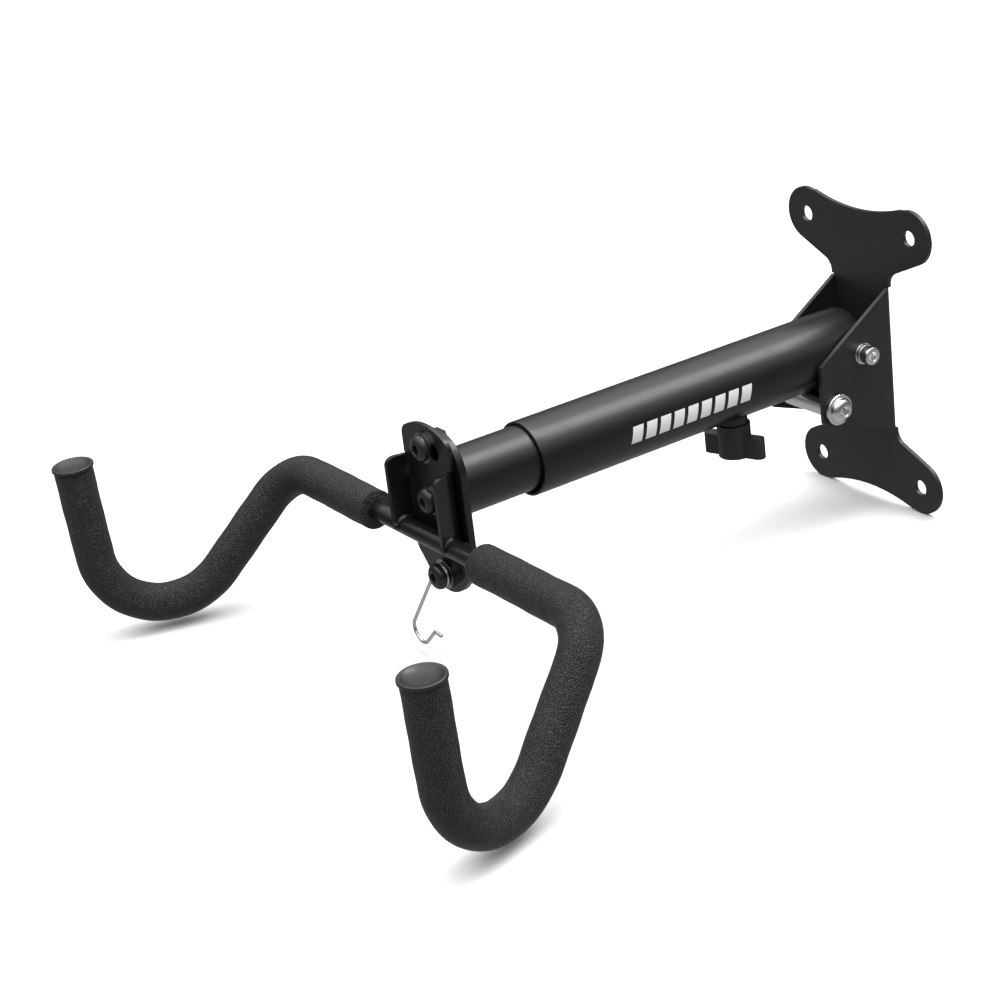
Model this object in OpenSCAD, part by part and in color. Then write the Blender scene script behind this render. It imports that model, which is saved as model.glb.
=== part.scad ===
// Folding bicycle wall rack: a wall bracket, a telescopic arm that folds up,
// and a bent cradle rod with two foam-covered hooks that hold a top tube.
// Frame: wall is the plane y = 0, the arm points along -Y, +Z is up,
// and the origin is the centre of the four wall holes.

/* [Wall bracket] */
// Distance between the wall holes across
hole_span_x = 82; // [72:1:100]
// Distance between the wall holes up and down
hole_span_z = 146; // [134:1:176]
// Diameter of the wall holes
wall_hole_d = 9; // [6:0.5:11]
// Thickness of the bracket sheet
sheet = 2.5; // [2:0.1:3.5]
// Radius of the rounded ear round each wall hole
ear_r = 15.5; // [12:0.5:20]
// Angle at which each ear slopes up from the neck
ear_slope = 24; // [15:1:32]
// How far the middle of the plate's end edge dips below the ears
end_dip = 6; // [3:0.5:9]
// Reach of the cheeks in front of the pivot
cheek_front = 30; // [27:1:42]
// Height of the cheeks' front corner above the pivot
cheek_front_up = -0.5; // [-4:0.5:8]
// Height of the cheeks' rear corner above the pivot
cheek_rear_up = 31; // [26:1:40]
// Distance from the support bolt down to the cheeks' front corner
cheek_below = 7; // [6:0.5:14]
// Drop of the cheeks' lower edge from front to wall
cheek_slope_drop = 19; // [0:1:24]
// Radius of the cheeks' front corners
cheek_corner_r = 2; // [1:0.5:4]

/* [Pivot and support] */
// Gap between the folding tube's rear corner and the wall plate
fold_gap = 0.62; // [0.4:0.02:4]
// Height of the pivot above the centre of the wall holes
pivot_up = 10; // [0:1:20]
// Diameter of the pivot bolt
pivot_d = 6; // [5:1:8]
// Outer diameter of the pivot sleeve
pivot_sleeve_d = 9; // [8:0.5:12]
// Distance from the pivot to the support bolt
support_ahead = 20.5; // [17:0.5:24]
// Diameter of the support bolt
support_d = 8; // [6:1:10]
// Outer diameter of the sleeve on the support bolt
support_sleeve_d = 12.5; // [9:0.5:14]

/* [Telescopic arm] */
// Outer diameter of the outer tube
tube_d = 40; // [35:1:48]
// Wall of the outer tube
tube_wall = 1.5; // [1.2:0.1:2]
// Distance that the outer tube runs behind the pivot
tube_tail = 6; // [6:0.5:12]
// Distance from the pivot to the mouth of the outer tube
tube_len = 213; // [175:1:260]
// Radial gap between the two tubes
tube_gap = 1; // [0.6:0.1:1.5]
// Wall of the inner tube
inner_wall = 1.5; // [1.2:0.1:2]
// Length of the inner tube that shows in front of the outer tube
inner_out = 49.5; // [20:0.5:90]
// Distance from the pivot to the inner tube's rear end
inner_clear = 24; // [20:1:80]

/* [Clamp] */
// Distance from the pivot to the clamp knob
clamp_out = 75; // [60:1:100]
// Diameter of the clamp stud
stud_d = 8; // [6:1:10]
// Diameter of the knob's hub
hub_d = 18.5; // [16:0.5:24]
// Height of the knob's hub
hub_h = 18.7; // [12:0.1:22]
// Height of the knob's wings
wing_h = 11.5; // [6:0.5:13]
// Reach of each wing tip from the knob's axis
wing_reach = 18.5; // [15:0.5:24]
// Thickness of the wings
wing_t = 7.5; // [5:0.5:9]
// Angle that the knob is turned to
knob_turn = 20; // [-90:5:90]

/* [Head] */
// Width of the head plate
head_w = 52; // [48:1:64]
// Thickness of the head plate
head_plate_t = 4; // [3:0.5:5]
// Height of the head plate's top above the slot bolt
head_over = 8.6; // [8:0.1:16]
// Distance of the tilt bolt below the arm's axis
tilt_drop = 3.7; // [0:0.1:5]
// Distance of the hook bolt below the arm's axis
hook_bolt_drop = 45.6; // [42:0.1:52]
// Diameter of the head bolts
head_bolt_d = 8; // [6:1:8]
// Half of the tilt that the arc slot allows
slot_angle = 16; // [8:1:18]
// Width of the cradle bracket
cradle_w = 43; // [40:1:50]
// Rim of the cradle bracket beyond the slot bolt
cradle_rim = 11.9; // [9.5:0.1:16]
// Depth of the cradle bracket's flanges in front of its web
flange_depth = 11.3; // [10.8:0.1:16]
// Height of the flanges' top above the arm's axis
flange_up = 16.4; // [10:0.1:20]
// Angle at which each flange leans outwards
flange_splay = 13; // [0:1:18]

/* [Cradle rod] */
// Diameter of the bent rod
rod_d = 10; // [8:0.5:12]
// Distance of the rod below the arm's axis
rod_drop = 22.2; // [20:0.1:28]
// Distance from the middle to each shoulder bend
shoulder_x = 139; // [115:1:170]
// Distance from the middle to each bottom bend
bottom_x = 173; // [145:1:210]
// Distance from the rod to the bottom bend, outwards from the wall
bottom_out = 105.5; // [85:0.5:130]
// Depth of the bottom bend below the rod
bottom_drop = 115; // [95:1:140]
// Height of the hook tip above the bottom bend
tip_up = 143; // [115:1:170]
// Distance the tip leans outwards past the bottom bend
tip_out = 6; // [0:1:12]
// Bend radius at the shoulders
shoulder_r = 26.5; // [20:0.5:32]
// Bend radius at the bottom
bottom_r = 38; // [30:0.5:42]
// Outer diameter of the foam sleeves
foam_d = 21.2; // [18:0.2:26]
// Distance from the middle to the inner end of the foam
foam_start = 49.5; // [44:0.5:70]

/* [Wire hook] */
// Diameter of the wire
wire_d = 2; // [1.6:0.1:3]
// Length of the wire hook's shank
wire_len = 51; // [35:1:65]
// Width of the wire hook's bend
wire_bend_w = 13; // [10:0.5:18]
// Length of the wire hook's rising leg
wire_rise = 12; // [8:0.5:20]
// Length of the wire hook's flared lip
wire_lip = 7; // [4:0.5:10]
// Angle that the wire hook hangs at
wire_angle = 37; // [0:1:45]

/* [Hidden] */
$fn = 64;

// Clearances
slip = 0.05;        // radial clearance of a turning or sliding fit
side_gap = 0.3;     // gap between a moving part and the part beside it
face_gap = 0.2;     // gap between two plates that slide on each other
relief = 0.6;       // slit that lets the cheeks bend away from the neck

// Wall bracket
bend_r = 3.5;                                   // outer bend radius of the sheet
cheek_in = tube_d / 2 + side_gap;               // inner face of each cheek
cheek_x = cheek_in + sheet;                     // outer face of each cheek
neck_r = 8;                                     // fillet between neck and ear
support_z = pivot_up - tube_d / 2 - side_gap - support_sleeve_d / 2;
cheek_front_z = pivot_up + cheek_front_up;
cheek_rear_z = pivot_up + cheek_rear_up;
cheek_low_z = support_z - cheek_below;
cheek_foot_z = cheek_low_z - cheek_slope_drop;
ear_dx = hole_span_x / 2;
ear_dz = hole_span_z / 2;
end_z = ear_dz + ear_r - end_dip;               // middle of the plate's end edge
end_half = ear_dx - ear_r / 3;                  // where the dip meets the ear
end_r = (end_half * end_half + end_dip * end_dip) / (2 * end_dip);
pivot_out = sheet + sqrt(pow(tube_d / 2, 2) + pow(tube_tail, 2)) + fold_gap;
support_out = pivot_out + support_ahead;
cheek_reach = pivot_out + cheek_front;

// Arm
axis_z = pivot_up;
tube_r = tube_d / 2;
inner_r = tube_r - tube_wall - tube_gap;
inner_z = axis_z + tube_gap - side_gap;         // clamped up against the outer tube
mouth_y = -pivot_out - tube_len;
inner_in = tube_len - inner_clear;              // length of inner tube in the outer tube
head_y = mouth_y - inner_out;                   // rear face of the head plate
clamp_y = -pivot_out - clamp_out;

// Clamp
pad_t = 2.5;
pad_top = inner_z - inner_r - side_gap;
pad_r = stud_d / 2 + 0.2;
tube_hole_r = pad_r + side_gap;
boss_r = stud_d / 2 + 4;
boss_low = axis_z - tube_r - 3;
hub_top = boss_low - side_gap;
hub_low = hub_top - hub_h;

// Head
head_face = head_y - head_plate_t;              // front face of the head plate
web_back = head_face - face_gap;
web_face = web_back - sheet;
tilt_z = axis_z - tilt_drop;
hook_bolt_z = axis_z - hook_bolt_drop;
head_bolt_r = head_bolt_d / 2;
washer_t = head_bolt_d / 5;
washer_r = head_bolt_d;
nut_h = 0.5 * head_bolt_d;
nut_af = 13 * head_bolt_d / 8;
slot_bolt_z = inner_z + inner_r + nut_af / 2 + face_gap;    // its nut clears the inner tube
slot_r = slot_bolt_z - tilt_z;
cradle_arch_r = slot_r + cradle_rim;
button_r = 0.875 * head_bolt_d;
button_h = 0.55 * head_bolt_d;
rod_r = rod_d / 2;
rod_y = web_face - rod_r - face_gap;
rod_z = axis_z - rod_drop;

// Cradle rod: bend corners of the right hook
shoulder = [shoulder_x, rod_y, rod_z];
bottom = [bottom_x, rod_y - bottom_out, rod_z - bottom_drop];
tip = [bottom_x + 1, bottom[1] - tip_out, bottom[2] + tip_up];
cap_t = 2.2;                                    // thickness of the end cap's flange
cap_sink = 2.6;                                 // depth of the rod's end below the foam's end
cap_socket = 15;                                // depth of the end cap's socket
cap_wall = 1.5;
cap_r = foam_d / 2 + 0.8;

// Points along an arc, from angle a to angle b
function arc(c, r, a, b, n = 16) =
    [for (i = [0:n]) c + r * [cos(a + (b - a) * i / n), sin(a + (b - a) * i / n)]];
function unit(v) = v / norm(v);

// Points along a rounded corner at b, between its neighbours a and c
function corner(a, b, c, r, n = 8) =
    let (u = unit(a - b), v = unit(c - b),
         half = acos(u * v) / 2,
         centre = b + unit(u + v) * r / sin(half),
         from = unit(b + u * r / tan(half) - centre),
         to = unit(b + v * r / tan(half) - centre),
         open = acos(from * to))
    [for (i = [0:n]) centre + r * (sin(open * (1 - i / n)) * from + sin(open * i / n) * to) / sin(open)];

// A flat outline drawn in X and Z, with its rear face at y and thickness t towards -Y
module plate_at(y, t) {
    translate([0, y, 0])
        rotate([90, 0, 0])
            linear_extrude(t)
                children();
}

// A flat outline drawn in Y and Z, spread from x = -half to x = +half
module across(half) {
    translate([-half, 0, 0])
        rotate([90, 0, 90])
            linear_extrude(2 * half)
                children();
}

// A cylinder along X from x0 to x1
module bar_x(x0, x1, y, z, r) {
    translate([x0, y, z])
        rotate([0, 90, 0])
            cylinder(h = x1 - x0, r = r);
}

// A cylinder along -Y that starts at y and has length h
module bar_y(x, y, z, h, r) {
    translate([x, y, z])
        rotate([90, 0, 0])
            cylinder(h = h, r = r);
}

// A hexagonal prism of width af across its flats, along -Y from y
module hex_y(x, y, z, h, af) {
    translate([x, y, z])
        rotate([90, 0, 0])
            cylinder(h = h, r = af / 2 / cos(30), $fn = 6);
}

// A hexagonal prism of width af across its flats, along X from x
module hex_x(x, y, z, h, af) {
    translate([x, y, z])
        rotate([0, 90, 0])
            cylinder(h = h, r = af / 2 / cos(30), $fn = 6);
}

// A domed screw head on z = 0 that rises along +Z, with a hexagonal socket
module dome_head(r, h, socket_af) {
    crown = (r * r * 0.36 + h * h) / (2 * h);
    difference() {
        rotate_extrude()
            polygon(concat([[0, 0], [r, 0], [r, h * 0.25]],
                           [for (i = [1:8]) [r * (1 - 0.055 * i), h * (0.25 + 0.75 * sin(90 * i / 8))]],
                           [[0, h]]));
        translate([0, 0, h * 0.4])
            cylinder(h = h, r = socket_af / 2 / cos(30), $fn = 6);
    }
}

// A round bar bent through the corners in pts, with bend radii in bends. Each bend is
// thinner by step and runs into its neighbours by lap, so that all pieces join cleanly.
step = 0.02;
lap = 0.2;

module bent_bar(pts, bends, r) {
    n = len(pts) - 1;
    cut = [for (i = [0:n]) i == 0 || i == n ? 0 :
           bends[i - 1] * tan(turn(pts, i) / 2)];
    for (i = [0:n - 1]) {
        d = unit(pts[i + 1] - pts[i]);
        straight(pts[i] + d * cut[i], pts[i + 1] - d * cut[i + 1], r);
    }
    for (i = [1:n - 1]) {
        a = unit(pts[i] - pts[i - 1]);
        b = unit(pts[i + 1] - pts[i]);
        axis = unit(cross(a, b));
        inward = cross(axis, a);
        centre = pts[i] - a * cut[i] + inward * bends[i - 1];
        elbow(centre, -inward, a, axis, bends[i - 1], turn(pts, i), r - step);
    }
}

// Angle that the path turns through at corner i
function turn(pts, i) = acos(unit(pts[i] - pts[i - 1]) * unit(pts[i + 1] - pts[i]));

// A straight round bar from a to b
module straight(a, b, r) {
    d = unit(b - a);
    side = unit(cross(d, abs(d[2]) < 0.9 ? [0, 0, 1] : [1, 0, 0]));
    up = cross(d, side);
    frame_at(a, side, up, d)
        cylinder(h = norm(b - a), r = r);
}

// A bend of the given radius about centre, from direction out turning towards along
module elbow(centre, out, along, axis, bend, angle, r) {
    past = lap / bend * 180 / PI;
    frame_at(centre, out, along, axis)
        rotate([0, 0, -past])
            rotate_extrude(angle = angle + 2 * past, $fn = 96)
                translate([bend, 0])
                    circle(r);
}

// Places its children in the frame with origin o and axes x, y and z
module frame_at(o, x, y, z) {
    multmatrix([[x[0], y[0], z[0], o[0]],
                [x[1], y[1], z[1], o[1]],
                [x[2], y[2], z[2], o[2]],
                [0, 0, 0, 1]])
        children();
}

// ---- wall bracket ----

module ear_outline() {
    slope = [sin(ear_slope), -cos(ear_slope)];
    low = [ear_dx, ear_dz] + ear_r * slope;
    neck_z = low[1] - (low[0] - cheek_x) * tan(ear_slope);
    fillet_x = cheek_x + neck_r;
    fillet_z = neck_z + neck_r * tan(ear_slope) - neck_r / cos(ear_slope);
    foot = [fillet_x, fillet_z] - neck_r * slope;
    difference() {
        union() {
            translate([ear_dx, ear_dz])
                circle(ear_r);
            polygon([[0, neck_z], [cheek_x, neck_z], low, [ear_dx, ear_dz],
                     [end_half, ear_dz + ear_r - 0.8], [0, ear_dz + ear_r]]);
            difference() {
                polygon([[cheek_x - 1, fillet_z], [fillet_x, fillet_z], foot,
                         [cheek_x, neck_z + 0.01], [cheek_x - 1, neck_z + 0.01]]);
                translate([fillet_x, fillet_z])
                    circle(neck_r);
            }
            translate([0, cheek_rear_z + relief])
                square([cheek_x, neck_z - cheek_rear_z - relief]);
        }
        translate([0, end_z + end_r])
            circle(end_r, $fn = 128);
        translate([ear_dx, ear_dz])
            circle(d = wall_hole_d);
    }
}

module bracket_outline() {
    for (sx = [0, 1], sz = [0, 1])
        mirror([sx, 0])
            mirror([0, sz])
                ear_outline();
    square([2 * (cheek_x - bend_r), 2 * (ear_dz - ear_r)], center = true);
}

module bent_section() {
    difference() {
        union() {
            translate([-cheek_x, -cheek_reach])
                square([2 * cheek_x, cheek_reach - bend_r]);
            translate([-cheek_x + bend_r, -bend_r])
                square([2 * (cheek_x - bend_r), bend_r]);
            for (s = [-1, 1])
                translate([s * (cheek_x - bend_r), -bend_r])
                    circle(bend_r);
        }
        translate([-cheek_in, -cheek_reach - 1])
            square([2 * cheek_in, cheek_reach + 1 - sheet]);
    }
}

module wall_bracket() {
    color("#26272a")
    difference() {
        union() {
            plate_at(0, sheet)
                bracket_outline();
            intersection() {
                translate([0, 0, cheek_foot_z])
                    linear_extrude(cheek_rear_z - cheek_foot_z)
                        bent_section();
                across(cheek_x + 1)
                    polygon(concat(
                        [[1, cheek_rear_z], [-sheet, cheek_rear_z]],
                        corner([-sheet, cheek_rear_z], [-cheek_reach, cheek_front_z],
                               [-cheek_reach, cheek_low_z], cheek_corner_r),
                        corner([-cheek_reach, cheek_front_z], [-cheek_reach, cheek_low_z],
                               [-sheet, cheek_foot_z], cheek_corner_r),
                        [[-sheet, cheek_foot_z], [1, cheek_foot_z]]));
            }
        }
        bar_x(-cheek_x - 1, cheek_x + 1, -pivot_out, pivot_up, pivot_d / 2 + slip);
        bar_x(-cheek_x - 1, cheek_x + 1, -support_out, support_z, support_d / 2 + slip);
    }
}

pivot_washer_t = 1.6;
pivot_washer_r = pivot_d;
pivot_head_x = cheek_x + 2 * pivot_washer_t + slip;
pivot_nut_h = 0.85 * pivot_d;

module pivot_bolt() {
    color("#c8c9cb")
    difference() {
        union() {
            bar_x(-cheek_x - pivot_washer_t - pivot_nut_h - 1, pivot_head_x,
                  -pivot_out, pivot_up, pivot_d / 2);
            bar_x(pivot_head_x, pivot_head_x + pivot_d, -pivot_out, pivot_up, 5 * pivot_d / 6);
        }
        hex_x(pivot_head_x + pivot_d / 2, -pivot_out, pivot_up, pivot_d, 5 * pivot_d / 6);
    }
}

module pivot_washers() {
    color("#b9babd")
    for (w = [[-cheek_x - pivot_washer_t, pivot_washer_r], [cheek_x, pivot_washer_r],
              [cheek_x + pivot_washer_t + slip, 0.92 * pivot_washer_r]])
        difference() {
            bar_x(w[0], w[0] + pivot_washer_t, -pivot_out, pivot_up, w[1]);
            bar_x(w[0] - 1, w[0] + pivot_washer_t + 1, -pivot_out, pivot_up, pivot_d / 2 + slip);
        }
}

module pivot_nut() {
    color("#b9babd")
    difference() {
        hex_x(-cheek_x - pivot_washer_t - pivot_nut_h, -pivot_out, pivot_up,
              pivot_nut_h, 10 * pivot_d / 6);
        bar_x(-cheek_x - 20, -cheek_x, -pivot_out, pivot_up, pivot_d / 2 + slip);
    }
}

flange_t = 1.6;
support_washer_t = 1.6;
support_nut_h = 0.8 * support_d;
support_head_r = 1.1 * support_d;
support_head_x = cheek_x + support_washer_t + flange_t;

module support_bolt() {
    color("#c8c9cb") {
        bar_x(-cheek_x - support_washer_t - support_nut_h - 1.5, support_head_x,
              -support_out, support_z, support_d / 2);
        bar_x(support_head_x - flange_t, support_head_x, -support_out, support_z,
              support_head_r);
        translate([support_head_x, -support_out, support_z])
            rotate([0, 90, 0])
                dome_head(0.875 * support_d, 0.5 * support_d, 5 * support_d / 8);
    }
}

module support_sleeve() {
    color("#d4d5d6")
    difference() {
        bar_x(-cheek_in + face_gap, cheek_in - face_gap, -support_out, support_z,
              support_sleeve_d / 2);
        bar_x(-cheek_in - 1, cheek_in + 1, -support_out, support_z, support_d / 2 + slip);
    }
}

module support_washers() {
    color("#b9babd")
    for (x = [-cheek_x - support_washer_t, cheek_x])
        difference() {
            bar_x(x, x + support_washer_t, -support_out, support_z, support_d);
            bar_x(x - 1, x + support_washer_t + 1, -support_out, support_z,
                  support_d / 2 + slip);
        }
}

module support_nut() {
    color("#b9babd")
    difference() {
        hex_x(-cheek_x - support_washer_t - support_nut_h, -support_out, support_z,
              support_nut_h, 13 * support_d / 8);
        bar_x(-cheek_x - 20, -cheek_x, -support_out, support_z, support_d / 2 + slip);
    }
}

// ---- telescopic arm ----

module outer_tube() {
    color("#202123")
    difference() {
        bar_y(0, -pivot_out + tube_tail, axis_z, tube_len + tube_tail, tube_r);
        bar_y(0, 1, axis_z, 2 * tube_len, tube_r - tube_wall);
        bar_x(-tube_r - 1, tube_r + 1, -pivot_out, pivot_up, pivot_sleeve_d / 2);
        translate([0, clamp_y, axis_z - tube_r - 1])
            cylinder(h = tube_r, r = tube_hole_r);
    }
}

module pivot_sleeve() {
    color("#9fa1a4")
    difference() {
        bar_x(-tube_r - side_gap / 3, tube_r + side_gap / 3, -pivot_out, pivot_up,
              pivot_sleeve_d / 2);
        bar_x(-tube_r - 5, tube_r + 5, -pivot_out, pivot_up, pivot_d / 2 + slip);
    }
}

module clamp_boss() {
    color("#202123")
    difference() {
        translate([0, clamp_y, boss_low])
            cylinder(h = tube_r / 2, r = boss_r);
        bar_y(0, clamp_y + 20, axis_z, 40, tube_r);
        translate([0, clamp_y, boss_low - 1])
            cylinder(h = tube_r, r = stud_d / 2 + slip);
    }
}

module clamp_pad() {
    color("#8a6d3b")
    translate([0, clamp_y, pad_top - pad_t])
        cylinder(h = pad_t, r = stud_d / 2);
}

module clamp_stud() {
    color("#b9babd")
    translate([0, clamp_y, hub_low + hub_h / 3])
        cylinder(h = pad_top - pad_t - slip - hub_low - hub_h / 3, r = stud_d / 2);
}

module knob_outline(reach) {
    circle(d = hub_d);
    for (a = [0, 180])
        rotate(knob_turn + a) {
            translate([0, -wing_t / 2])
                square([reach - wing_t / 2, wing_t]);
            translate([reach - wing_t / 2, 0])
                circle(d = wing_t);
        }
}

module clamp_knob() {
    color("#1d1e20")
    difference() {
        translate([0, clamp_y, hub_low])
            union() {
                cylinder(h = hub_h, r = hub_d / 2);
                linear_extrude(wing_h)
                    knob_outline(wing_reach);
            }
        translate([0, clamp_y, hub_low + hub_h / 3])
            cylinder(h = hub_h, r = stud_d / 2);
    }
}

module inner_tube() {
    color("#242528")
    difference() {
        bar_y(0, mouth_y + inner_in, inner_z, inner_in + inner_out, inner_r);
        bar_y(0, mouth_y + inner_in + 1, inner_z, inner_in + inner_out + 2,
              inner_r - inner_wall);
    }
}

// ---- head ----

top_corner_r = 20;
side_corner_r = 6;
tab_r = 22;
head_side_z = axis_z - hook_bolt_drop + 10.3;   // where the sides start to taper
tab_z = hook_bolt_z + 12;

module head_outline() {
    side_x = head_w / 2;
    ends = [side_x - side_corner_r, head_side_z];
    to_tab = [0, tab_z] - ends;
    heading = atan2(to_tab[1], to_tab[0]) - (to_tab[1] > 0 ? 360 : 0);
    a = heading + acos((side_corner_r - tab_r) / norm(to_tab));
    half = concat(
        arc([side_x - top_corner_r, slot_bolt_z + head_over - top_corner_r], top_corner_r, 90, 0),
        arc(ends, side_corner_r, 0, a, 8),
        arc([0, tab_z], tab_r, a, -90, 12));
    polygon(concat(half, [for (i = [len(half) - 1:-1:0]) [-half[i][0], half[i][1]]]));
}

module head_plate() {
    color("#232427")
    plate_at(head_y, head_plate_t)
        difference() {
            head_outline();
            for (z = [slot_bolt_z, tilt_z, hook_bolt_z])
                translate([0, z])
                    circle(head_bolt_r + slip);
        }
}

module head_weld() {
    bead = 1.4;
    color("#2b2c2f")
    translate([0, head_y, inner_z])
        rotate([90, 0, 0])
            rotate([0, 0, 125])
                rotate_extrude(angle = 290)
                    translate([inner_r, 0])
                        polygon([[0, 0], [bead, 0], [bead * 0.7, -bead * 0.7], [0, -bead]]);
}

module button_bolt(seat, z) {
    bar_y(0, head_y + nut_h + 1.5, z, nut_h + 1.5 + head_y - seat, head_bolt_r);
    translate([0, seat, z])
        rotate([90, 0, 0])
            dome_head(button_r, button_h, 5 * head_bolt_d / 8);
}

bolt_seat = web_face - face_gap / 2 - washer_t;
hook_washer_y = head_face;
wire_y = hook_washer_y - washer_t - side_gap - wire_d / 2;
hook_seat = wire_y - wire_d / 2 - side_gap;

module slot_bolt() {
    color("#1b1c1e")
    button_bolt(bolt_seat, slot_bolt_z);
}

module tilt_bolt() {
    color("#1b1c1e")
    button_bolt(bolt_seat, tilt_z);
}

module hook_bolt() {
    color("#1b1c1e")
    button_bolt(hook_seat, hook_bolt_z);
}

module head_washers() {
    color("#3a3b3e")
    for (w = [[bolt_seat + washer_t, slot_bolt_z, washer_r],
              [bolt_seat + washer_t, tilt_z, 0.92 * washer_r],
              [hook_washer_y, hook_bolt_z, washer_r]])
        difference() {
            bar_y(0, w[0], w[1], washer_t, w[2]);
            bar_y(0, w[0] + 1, w[1], washer_t + 2, head_bolt_r + slip);
        }
}

module head_nuts() {
    color("#3a3b3e")
    for (z = [slot_bolt_z, tilt_z, hook_bolt_z])
        difference() {
            hex_y(0, head_y + nut_h, z, nut_h, nut_af);
            bar_y(0, head_y + nut_h + 1, z, nut_h + 2, head_bolt_r + slip);
        }
}

// ---- cradle ----

module cradle_section() {
    mid = cradle_w / 2 - bend_r;
    bend_y = web_back - bend_r;
    in_r = bend_r - sheet;
    normal = [cos(flange_splay), sin(flange_splay)];
    down = [sin(flange_splay), -cos(flange_splay)];
    root = [mid, bend_y] + in_r * normal - in_r * (1 - normal[1]) / normal[0] * down;
    far = root + 3 * flange_depth * down;
    difference() {
        union() {
            translate([-mid, bend_y])
                square([2 * mid, bend_r]);
            for (s = [0, 1])
                mirror([s, 0])
                    translate([mid, bend_y]) {
                        circle(bend_r);
                        rotate(flange_splay)
                            translate([0, -2 * flange_depth])
                                square([bend_r, 2 * flange_depth]);
                    }
        }
        polygon([root, far, [-far[0], far[1]], [-root[0], root[1]]]);
    }
}

module cradle_web() {
    half = cradle_w / 2;
    corner = 7;
    edge = acos((half - corner) / (cradle_arch_r - corner));
    top = arc([0, tilt_z], cradle_arch_r, edge, 180 - edge, 24);
    side_z = tilt_z + (cradle_arch_r - corner) * sin(edge);
    polygon(concat(
        arc([half - corner, side_z], corner, 0, edge, 6), top,
        arc([-half + corner, side_z], corner, 180 - edge, 180, 6),
        [[-half, axis_z + flange_up + relief], [-half + bend_r, axis_z + flange_up + relief],
         [-half + bend_r, rod_z - 2], [half - bend_r, rod_z - 2],
         [half - bend_r, axis_z + flange_up + relief], [half, axis_z + flange_up + relief]]));
}

module cradle_bracket() {
    front = web_face - flange_depth;
    flange_top = axis_z + flange_up;
    corner = 5;
    color("#232427")
    difference() {
        union() {
            plate_at(web_back, sheet)
                cradle_web();
            intersection() {
                translate([0, 0, rod_z])
                    linear_extrude(flange_top - rod_z)
                        cradle_section();
                across(cradle_w)
                    polygon(concat(
                        [[web_back + 1, rod_z], [web_back + 1, flange_top]],
                        arc([front + corner, flange_top - corner], corner, 90, 180, 8),
                        [[front, rod_z]]));
            }
        }
        bar_x(-cradle_w, cradle_w, rod_y, rod_z, rod_r + slip);
        bar_y(0, web_back + 1, tilt_z, sheet + 2, head_bolt_r + slip);
        plate_at(web_back + 1, sheet + 2)
            arc_slot();
    }
}

module arc_slot() {
    r = head_bolt_r + side_gap;
    translate([0, tilt_z])
        difference() {
            union() {
                intersection() {
                    difference() {
                        circle(slot_r + r);
                        circle(slot_r - r);
                    }
                    polygon([[0, 0], 2 * slot_r * [sin(slot_angle), cos(slot_angle)],
                             2 * slot_r * [-sin(slot_angle), cos(slot_angle)]]);
                }
                for (s = [-1, 1])
                    translate(slot_r * [s * sin(slot_angle), cos(slot_angle)])
                        circle(r);
            }
        }
}

function hook_path(s) = [for (p = [[0, rod_y, rod_z], shoulder, bottom, tip])
                         [s * p[0], p[1], p[2]]];
tip_dir = unit(tip - bottom);
foam_end = tip - tip_dir * cap_t;
rod_end = foam_end - tip_dir * cap_sink;

module hook_rod() {
    right = [[foam_start, rod_y, rod_z], shoulder, bottom, rod_end];
    color("#232427")
    union() {
        bar_x(-foam_start, foam_start, rod_y, rod_z, rod_r);
        for (s = [-1, 1])
            bent_bar([for (p = right) [s * p[0], p[1], p[2]]], [shoulder_r, bottom_r], rod_r);
    }
}

// A fillet weld where the rod passes a flange's face, which meets the rod's axis at x; it
// runs round the rod from angle a, measured from below towards the wall, and side tells
// which way it faces
module rod_weld(x, side, a, angle) {
    bead = 1.3;
    lean = x > 0 ? flange_splay : -flange_splay;
    difference() {
        translate([x, rod_y, rod_z])
            rotate([0, 0, lean])
                rotate([0, 90, 0])
                    rotate([0, 0, a])
                        rotate_extrude(angle = angle)
                            polygon([[rod_r - 0.6, 0], [rod_r + bead, 0],
                                     [rod_r + bead * 0.35, side * bead * 0.5],
                                     [rod_r - 0.6, side * (bead + 0.6)]]);
        bar_x(x - 4, x + 4, rod_y, rod_z, rod_r);
    }
}

module cradle_welds() {
    outer = cradle_w / 2 - bend_r + bend_r / cos(flange_splay)
            + (web_back - bend_r - rod_y) * tan(flange_splay);
    inner = outer - sheet / cos(flange_splay);
    color("#2b2c2f")
    for (s = [-1, 1]) {
        rod_weld(s * outer, s, 95, 155);
        rod_weld(s * inner, -s, 140, 110);
    }
}

module foam_sleeve(s) {
    path = [[foam_start, rod_y, rod_z], shoulder, bottom, foam_end];
    side = [for (p = path) [s * p[0], p[1], p[2]]];
    dir = [s * tip_dir[0], tip_dir[1], tip_dir[2]];
    difference() {
        bent_bar(side, [shoulder_r, bottom_r], foam_d / 2);
        bent_bar([side[0] - [s, 0, 0], side[1], side[2], side[3] + dir],
                 [shoulder_r, bottom_r], rod_r + slip);
        straight(side[3] - dir * cap_socket, side[3] + dir, rod_r + slip + cap_wall + slip);
    }
}

module left_foam_sleeve() {
    color("#3a3b3c")
    foam_sleeve(-1);
}

module right_foam_sleeve() {
    color("#3a3b3c")
    foam_sleeve(1);
}

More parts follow.
